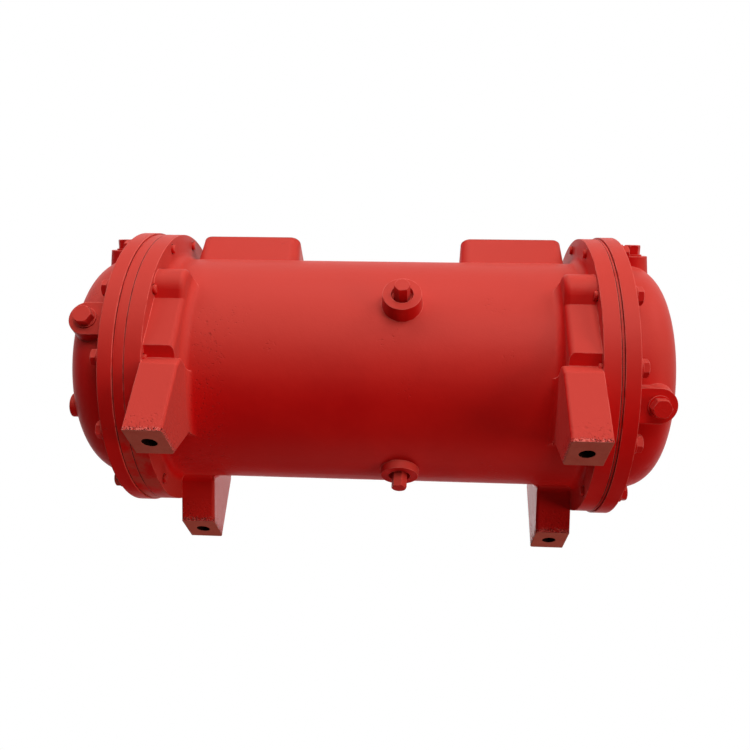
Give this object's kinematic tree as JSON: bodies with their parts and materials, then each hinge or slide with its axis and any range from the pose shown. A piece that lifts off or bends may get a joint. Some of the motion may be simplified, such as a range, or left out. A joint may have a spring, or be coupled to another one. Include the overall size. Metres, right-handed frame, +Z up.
{
  "type": "shell and tube heat exchanger",
  "caption": "Horizontal shell and tube heat exchanger: cast shell on feet with port pads on top, and a dished bonnet bolted over the tube sheet at each end",
  "frame": {"origin": "centre of the four foundation bolt holes, on the level of the soles", "axes": "+X along the shell to the right, -Y to the front, +Z up"},
  "size_m": [0.7742, 0.368, 0.369],
  "materials": {
    "red_paint": "red enamel on a cast skin",
    "red_paint_steel": "red enamel",
    "sheet_edge": "naval brass, its rim painted red",
    "naval_brass": "dull brass",
    "gasket": "matte, painted over at the rim",
    "zinc": "dull grey"
  },
  "bodies": {
    "root": {"shell_casting": "red_paint", "left_bonnet": "red_paint", "right_bonnet": "red_paint", "left_tube_sheet": "sheet_edge", "tube_stack": "naval_brass", "baffle_1": "naval_brass", "baffle_2": "naval_brass", "baffle_3": "naval_brass", "tie_rods": "naval_brass", "left_shell_gasket": "gasket", "left_bonnet_gasket": "gasket", "right_shell_gasket": "gasket", "right_bonnet_gasket": "gasket", "right_seal_ring": "red_paint_steel", "left_vent_plug": "red_paint_steel", "left_anode_plug": "red_paint_steel", "right_vent_plug": "red_paint_steel", "right_anode_plug": "red_paint_steel", "left_vent_washer": "red_paint_steel", "left_anode_washer": "red_paint_steel", "right_vent_washer": "red_paint_steel", "right_anode_washer": "red_paint_steel", "shell_front_plug": "red_paint_steel", "shell_drain_plug": "red_paint_steel", "left_anode": "zinc", "right_anode": "zinc"}
  },
  "joints": []
}
